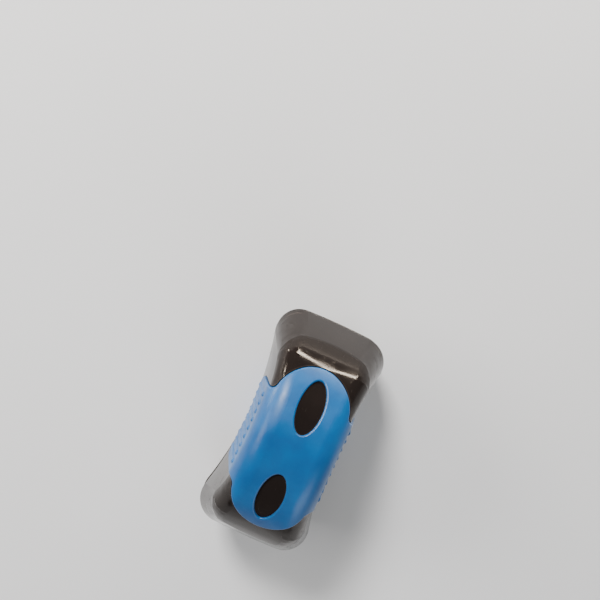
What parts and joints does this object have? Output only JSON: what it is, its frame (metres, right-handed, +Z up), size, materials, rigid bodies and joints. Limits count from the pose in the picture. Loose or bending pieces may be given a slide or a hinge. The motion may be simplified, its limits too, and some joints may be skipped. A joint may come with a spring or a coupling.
{
  "type": "floating magnetic aquarium glass cleaner",
  "caption": "Hand-held magnetic glass cleaner: waisted halves with ribbed soft grips hold felt and scouring pads on both sides of a tank wall; the wet half floats.",
  "frame": {"origin": "middle of the flat back of the wet half, which is the face that the cleaner rests on", "axes": "+X along the cleaner, +Y across it, +Z up from the wet half to the dry half that the hand holds"},
  "size_m": [0.0518, 0.0258, 0.042],
  "materials": {
    "casing_plastic": "glossy moulded ABS, near-black with a warm cast",
    "soft_grip": "satin soft-touch elastomer, mid blue",
    "plate_plastic": "matt black ABS",
    "ferrite": "dark grey sintered ferrite",
    "zinc_steel": "zinc-plated mild steel",
    "foam": "closed-cell foam",
    "screw_steel": "zinc-plated steel",
    "tape": "double-sided adhesive film",
    "felt": "charcoal needled felt",
    "seal_rubber": "cured silicone",
    "scourer": "navy nylon hook pile"
  },
  "bodies": {
    "wet_half": {"wet_casing": "casing_plastic", "wet_grip": "soft_grip", "wet_seal": "seal_rubber", "wet_base_plate": "plate_plastic", "wet_magnet_north": "ferrite", "wet_magnet_south": "ferrite", "wet_float_foam": "foam", "scourer_tape": "tape", "scourer_pad": "scourer"},
    "dry_half": {"dry_casing": "casing_plastic", "dry_grip": "soft_grip", "dry_base_plate": "plate_plastic", "dry_magnet_north": "ferrite", "dry_magnet_south": "ferrite", "dry_yoke": "zinc_steel", "dry_cushion": "foam", "dry_screw_1": "screw_steel", "dry_screw_2": "screw_steel", "dry_screw_3": "screw_steel", "dry_screw_4": "screw_steel", "felt_tape": "tape", "felt_pad": "felt"}
  },
  "joints": [
    {"name": "halves_pull_apart", "type": "slide", "parent": "wet_half", "child": "dry_half", "axis": [0, 0, 1], "range_m": [0, 0.05]}
  ]
}
